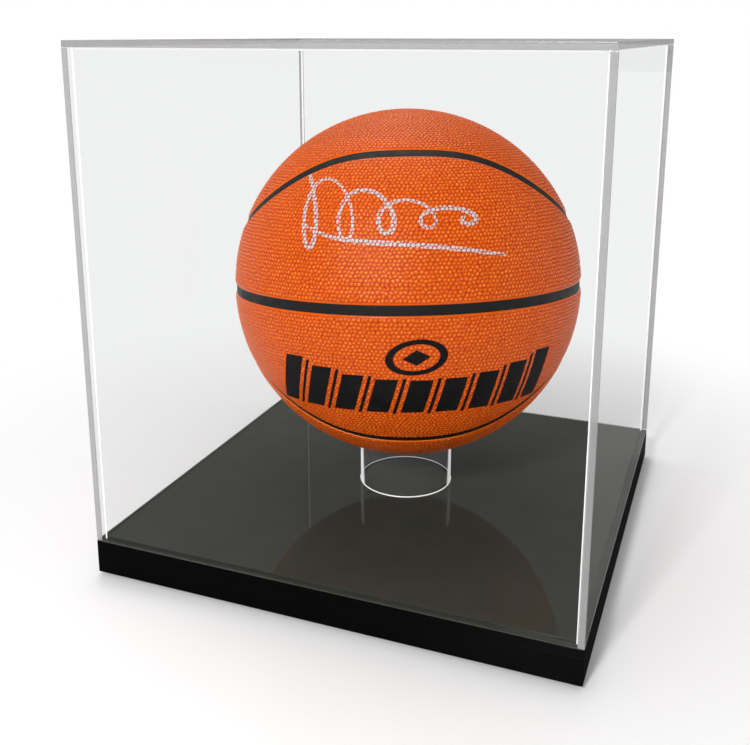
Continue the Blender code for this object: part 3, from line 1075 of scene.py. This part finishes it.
class BuildCover(bpy.types.Operator):
    """The clear cover: five polished sheets, and the cement in their inner corners"""

    bl_idname = "display_case.build_cover"
    bl_label = "Cover"

    def execute(self, context):
        sizes = context.scene.case_sizes
        for name in ("cover_top", "cover_front", "cover_back", "cover_left", "cover_right"):
            low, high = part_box(name)
            if name != "cover_top":
                high = (high[0], high[1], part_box("cover_top")[0][2])
            materials = [finish_of("clear_sheet"), finish_of("polished_edge")]
            exposed = {"cover_top": (0, 1), "cover_left": (1,), "cover_right": (1,)}.get(name, ())
            make_slab(name + "_sheet", low, high, materials, "cover", "clear_acrylic",
                      sizes.polish, name, exposed)
        self.add_cement(sizes.cement)
        return {"FINISHED"}

    def add_cement(self, leg):
        """Fillets: a hollow quarter circle between two legs, carried along each inner corner."""
        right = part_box("cover_right")[0][0]
        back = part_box("cover_back")[0][1]
        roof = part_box("cover_top")[0][2]
        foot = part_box("cover_front")[0][2]
        section = np.concatenate([[[0.0, 0.0]], quarter((leg, leg), leg, 2, 6)])
        for end, along in (("front", -1), ("back", 1)):
            for side, across in (("left", -1), ("right", 1)):
                ring = np.zeros((2, len(section), 3))
                ring[..., 0] = across * (right - section[:, 0])
                ring[..., 1] = along * (back - section[:, 1])
                ring[..., 2] = np.array([foot, roof])[:, None]
                self.add_fillet(f"cement_{end}_{side}", ring)
        for name, axis, sign, reach, length in (
            ("cement_roof_left", 0, -1, right, back),
            ("cement_roof_right", 0, 1, right, back),
            ("cement_roof_front", 1, -1, back, right),
            ("cement_roof_back", 1, 1, back, right),
        ):
            ring = np.zeros((2, len(section), 3))
            ring[..., axis] = sign * (reach - section[:, 0])
            ring[..., 1 - axis] = np.array([-length, length])[:, None]
            ring[..., 2] = roof - section[:, 1]
            self.add_fillet(name, ring)

    def add_fillet(self, name, ring):
        """A fillet between two copies of its section."""
        size = ring.shape[:2]
        faces = [grid_quads(*size, wrap_columns=True), end_faces(*size)]
        make_piece(name, ring.reshape(-1, 3), faces, [finish_of("cement")], "cover",
                   slot="clear_acrylic", sharp=CREASED)


class BuildBase(bpy.types.Operator):
    """The black base: deck, locating plinth, skirts and corner blocks"""

    bl_idname = "display_case.build_base"
    bl_label = "Base"

    def execute(self, context):
        sizes = context.scene.case_sizes
        names = ["base_deck", "locating_plinth"]
        names += [f"base_skirt_{side}" for side in ENDS + SIDES]
        names += [f"corner_block_{end}_{side}" for end in ENDS for side in SIDES]
        for name in names:
            low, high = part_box(name)
            if name.startswith(("base_skirt", "corner_block")):
                high = (high[0], high[1], DECK_LOW[2])
            if name == "locating_plinth":
                low = (low[0], low[1], DECK_HIGH[2])
            flats = "deck_acrylic_painted_reflection" if name in ("base_deck", "locating_plinth") else "black_acrylic"
            # The plinth's edges take the deck's painted reflection as well, which lightens the shade
            # line where they show through the front sheet.
            edges = "deck_acrylic_painted_reflection" if name == "locating_plinth" else "black_acrylic"
            make_slab(name + "_sheet", low, high, [finish_of(flats), finish_of(edges)],
                      "base", "black_acrylic", sizes.bond, name)
        return {"FINISHED"}


class BuildFeet(bpy.types.Operator):
    """Four soft stick-on feet with a rounded lower edge"""

    bl_idname = "display_case.build_feet"
    bl_label = "Feet"

    def execute(self, context):
        sizes = context.scene.case_sizes
        for end in ENDS:
            for side in SIDES:
                name = f"foot_{end}_{side}"
                low, high = (np.array(corner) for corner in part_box(name))
                radius = (high[0] - low[0]) / 2
                top, bend, tuck = high[2], 0.0006, 0.0002
                profile = np.concatenate([
                    quarter((radius - bend, bend), bend, -1, sizes.arc_steps),
                    [[radius - tuck / 4, top - tuck / 2], [radius - tuck, top]],
                ])
                centre = (*((low + high) / 2)[:2], 0.0)
                points = turned_surface(profile, SMALL_STEPS, centre)
                size = points.shape[:2]
                faces = [grid_quads(*size, wrap_columns=True), end_faces(*size)]
                make_piece(name + "_pad", points.reshape(-1, 3), faces,
                           [finish_of("foot_rubber")], "base", [name], "foot_rubber",
                           sharp=CREASED)
        return {"FINISHED"}


class BuildRiserTube(bpy.types.Operator):
    """The clear tube that carries the ball, and the ring of cement under it"""

    bl_idname = "display_case.build_riser_tube"
    bl_label = "Riser tube"

    def execute(self, context):
        sizes = context.scene.case_sizes
        outer, bottom, top = TUBE_HIGH[0], TUBE_LOW[2], TUBE_HIGH[2]
        inner = outer - sizes.tube_wall
        bend, steps = 0.0005, sizes.arc_steps
        profile = np.concatenate([
            quarter((outer - bend, bottom + bend), bend, -1, steps),
            quarter((outer - bend, top - bend), bend, 0, steps),
            [[inner + SEAT_CHAMFER, top], [inner, top - SEAT_CHAMFER]],
            quarter((inner + bend, bottom + bend), bend, 2, steps),
        ])
        kinds = (profile[:, 0] < (outer + inner) / 2).astype(int)
        self.add_ring("riser_tube_wall", profile, ["clear_tube", "clear_sheet"], kinds)
        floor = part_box("locating_plinth")[1][2]
        bead, spread = bottom - floor, 0.0004
        under = outer - spread * 0.6
        profile = np.array([
            (outer + spread, floor),
            (outer + spread * 0.4, floor + bead * 1.4),
            (outer, floor + bead * 2.2),
            (under, floor + bead),
            (under, floor),
        ])
        self.add_ring("riser_tube_cement", profile, ["cement"])
        return {"FINISHED"}

    def add_ring(self, name, profile, finishes, kinds=None):
        """A closed profile turned about the tube's axis, with a material for each of its rows."""
        steps = bpy.context.scene.case_sizes.turned_steps
        points = turned_surface(profile, steps)
        faces = [grid_quads(*points.shape[:2], wrap_rows=True, wrap_columns=True)]
        kinds = [0 if kinds is None else np.repeat(kinds, steps)]
        replaces = ["riser_tube"] if name == "riser_tube_wall" else []
        make_piece(name, points.reshape(-1, 3), faces, [finish_of(each) for each in finishes],
                   "base", replaces, "tube_acrylic", kinds=kinds, sharp=math.radians(35))


class BuildBallPanels(bpy.types.Operator):
    """The eight pebbled panels, one with a print and one with a pen mark"""

    bl_idname = "display_case.build_ball_panels"
    bl_label = "Ball panels"

    def execute(self, context):
        ball = context.scene.ball_sizes
        marks = {
            "ball_panel_lower_front_band": ("leather_printed", printed_motif),
            "ball_panel_upper_front_band": ("leather_signed", pen_flourish),
        }
        for shape, grid in (
            ("band", band_grid(ball.columns, ball.rows)),
            ("cap", cap_grid(ball.columns, ball.rows)),
        ):
            for upright, height in ((1, "upper"), (-1, "lower")):
                for facing, end in ((1, "front"), (-1, "back")):
                    name = f"ball_panel_{height}_{end}_{shape}"
                    flips = np.array([facing, facing, upright])
                    make_panel(name, grid, flips, marks.get(name))
        return {"FINISHED"}


class BuildBallInside(bpy.types.Operator):
    """The carcass whose ribs show in the channels, the valve, and the layers inside"""

    bl_idname = "display_case.build_ball_inside"
    bl_label = "Ball inside"

    def execute(self, context):
        self.add_carcass(context.scene.ball_sizes)
        self.add_valve(context.scene.ball_sizes)
        for node, finish in (("ball_winding", "thread_winding"), ("ball_bladder", "butyl")):
            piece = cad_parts[node]
            piece.data.materials.clear()
            piece.data.materials.append(finish_of(finish))
        return {"FINISHED"}

    def add_carcass(self, ball):
        """A shell: radius - depth on the ribs, and lower by the step where panels cover it.

        Its inside is a plain sphere. Both stop just short of the poles, where a flat face closes
        each.
        """
        under_panel, wall, near_pole = 0.0003, 0.0014, 0.498
        spare, slope = 0.0010, 0.0016
        rib = ball.seam_width / 2 + spare
        shells = []
        for rows, columns, drop in ((200, 400, 0.0), (48, 96, wall)):
            latitude = np.linspace(-near_pole, near_pole, rows) * math.pi
            around = np.linspace(0, 2 * math.pi, columns, endpoint=False)
            unit = direction(latitude[:, None], around[None, :])
            covered = ease(seam_gap(unit), rib, rib + slope)
            low = (ball.panel_wall - ball.seam_depth + under_panel) * covered
            radius = ball.radius - ball.seam_depth - low
            if drop:
                radius = np.full(low.shape, ball.radius - ball.panel_wall - under_panel - drop)
            sides = grid_quads(rows, columns, wrap_columns=True)
            shells.append((unit * radius[..., None], sides, end_faces(rows, columns)))
        outer, inner = shells
        count = outer[0].size // 3
        points = np.concatenate([outer[0].reshape(-1, 3), inner[0].reshape(-1, 3)])
        if enclosed_volume(points, [outer[1], outer[2]]) < 0:
            outer, inner = [(s[0], s[1][:, ::-1], s[2][:, ::-1]) for s in (outer, inner)]
        faces = [outer[1], outer[2], inner[1][:, ::-1] + count, inner[2][:, ::-1] + count]
        make_piece("ball_carcass_shell", to_place(points), faces, [finish_of("channel_rubber")],
                   "ball", ["ball_carcass"], "carcass_rubber")

    def add_valve(self, ball):
        """A turned plug with a domed face, a needle hole and a flange inside the bladder."""
        stem, needle, flange, thick = 0.0041, 0.0009, 0.0090, 0.0015
        lip, brim = 0.0007, 0.0008
        face = ball.radius - 0.0007
        deep = ball.radius - 0.0090
        profile = np.concatenate([
            [[needle, deep - thick], [needle, face - 0.0009]],
            quarter((needle + lip, face - lip), lip, 2, 4, turn=-1),
            quarter((stem - brim, face - brim), brim, 1, 4, turn=-1),
            [[stem, deep], [flange, deep], [flange, deep - thick]],
        ])
        points = turned_surface(profile, SMALL_STEPS)
        aim = Vector(valve_direction()).to_track_quat("Z", "Y").to_matrix()
        points = points.reshape(-1, 3) @ np.array(aim).T
        faces = [grid_quads(len(profile), SMALL_STEPS, wrap_rows=True, wrap_columns=True)]
        make_piece("ball_valve_plug", to_place(points), faces, [finish_of("channel_rubber")],
                   "ball", ["ball_valve"], "valve_rubber", sharp=CREASED)


class BuildStage(bpy.types.Operator):
    """The pale floor, the soft boxes, the room light and the camera"""

    bl_idname = "display_case.build_stage"
    bl_label = "Stage"

    def execute(self, context):
        look = context.scene.stage_look
        mesh = bpy.data.meshes.new("floor")
        reach = 9.0
        corners = [(-reach, -reach, 0), (reach, -reach, 0), (reach, reach, 0), (-reach, reach, 0)]
        mesh.from_pydata(corners, [], [(0, 1, 2, 3)])
        mesh.materials.append(finish_of("floor_paper"))
        floor = bpy.data.objects.new("floor", mesh)
        context.scene.collection.objects.link(floor)
        for name, place, side, power in (
            ("key_box", (-0.10, -1.50, 1.00), 0.20, look.key),
            ("top_box", (-0.35, 0.45, 1.65), 1.3, look.top),
            ("left_box", (-1.60, 0.20, 0.70), 0.9, look.side * 0.5),
            ("right_box", (1.60, 0.45, 0.70), 0.9, look.side),
        ):
            self.add_soft_box(name, place, side, power)
        self.add_room(look.room)
        self.add_camera(look.lens)
        return {"FINISHED"}

    def add_soft_box(self, name, place, side, power):
        """A square area light aimed at the middle of the ball's height."""
        target = Vector((0.0, 0.0, 0.16))
        light = bpy.data.lights.new(name, "AREA")
        light.shape = "SQUARE"
        light.size = side
        light.energy = power
        box = bpy.data.objects.new(name, light)
        box.location = place
        box.rotation_euler = (target - Vector(place)).to_track_quat("-Z", "Y").to_euler()
        bpy.context.scene.collection.objects.link(box)

    def add_room(self, strength):
        """White where the camera looks past the stage, and softer light from it elsewhere."""
        world = bpy.data.worlds.new("room")
        world.use_nodes = True
        tree = world.node_tree
        tree.nodes.clear()
        out = tree.nodes.new("ShaderNodeOutputWorld")
        seen = add_node(tree, "ShaderNodeBackground", Color=WHITE, Strength=1.0)
        lit = add_node(tree, "ShaderNodeBackground", Color=WHITE, Strength=strength)
        looking = tree.nodes.new("ShaderNodeLightPath").outputs["Is Camera Ray"]
        feed(tree, blend_shaders(tree, looking, lit, seen).outputs[0], out.inputs["Surface"])
        bpy.context.scene.world = world

    def add_camera(self, lens):
        """Level with the roof, in front and to the right, turned left and dipped a little."""
        camera = bpy.data.cameras.new("camera")
        camera.lens = lens
        camera.sensor_width = 36.0
        camera.shift_y = -0.15
        turn, dip = math.radians(21.35), math.radians(13.3)
        level = math.cos(dip)
        ahead = Vector((-math.sin(turn) * level, math.cos(turn) * level, -math.sin(dip)))
        holder = bpy.data.objects.new("camera", camera)
        holder.location = (0.2146, -0.6112, 0.3428)
        holder.rotation_euler = ahead.to_track_quat("-Z", "Y").to_euler()
        bpy.context.scene.collection.objects.link(holder)
        bpy.context.scene.camera = holder
        bpy.context.scene.view_settings.view_transform = "Standard"


class DisplayCasePanel(bpy.types.Panel):
    """Sizes, finishes and the steps that build the case"""

    bl_idname = "VIEW3D_PT_display_case"
    bl_label = "Display Case"
    bl_space_type = "VIEW_3D"
    bl_region_type = "UI"
    bl_category = "Display Case"

    def draw(self, context):
        for group in GROUPS:
            box = self.layout.box()
            settings = getattr(context.scene, group)
            for label in GROUPS[group].__annotations__:
                box.prop(settings, label)
        for operator in OPERATORS:
            self.layout.operator(operator.bl_idname)


GROUPS = {
    "case_sizes": CaseSizes,
    "ball_sizes": BallSizes,
    "finishes": Finishes,
    "stage_look": StageLook,
}
OPERATORS = (
    BuildCover,
    BuildBase,
    BuildFeet,
    BuildRiserTube,
    BuildBallPanels,
    BuildBallInside,
    BuildStage,
)


def register():
    """Registers the groups, the operators and the panel."""
    for label, group in GROUPS.items():
        bpy.utils.register_class(group)
        setattr(bpy.types.Scene, label, PointerProperty(type=group))
    for made in (*OPERATORS, DisplayCasePanel):
        bpy.utils.register_class(made)


def unregister():
    """Takes them all out again."""
    for made in (DisplayCasePanel, *reversed(OPERATORS)):
        bpy.utils.unregister_class(made)
    for label, group in reversed(GROUPS.items()):
        delattr(bpy.types.Scene, label)
        bpy.utils.unregister_class(group)


def main():
    """Builds every piece in order."""
    register()
    bpy.ops.display_case.build_cover()
    bpy.ops.display_case.build_base()
    bpy.ops.display_case.build_feet()
    bpy.ops.display_case.build_riser_tube()
    bpy.ops.display_case.build_ball_panels()
    bpy.ops.display_case.build_ball_inside()
    bpy.ops.display_case.build_stage()


if __name__ == "__main__":
    main()
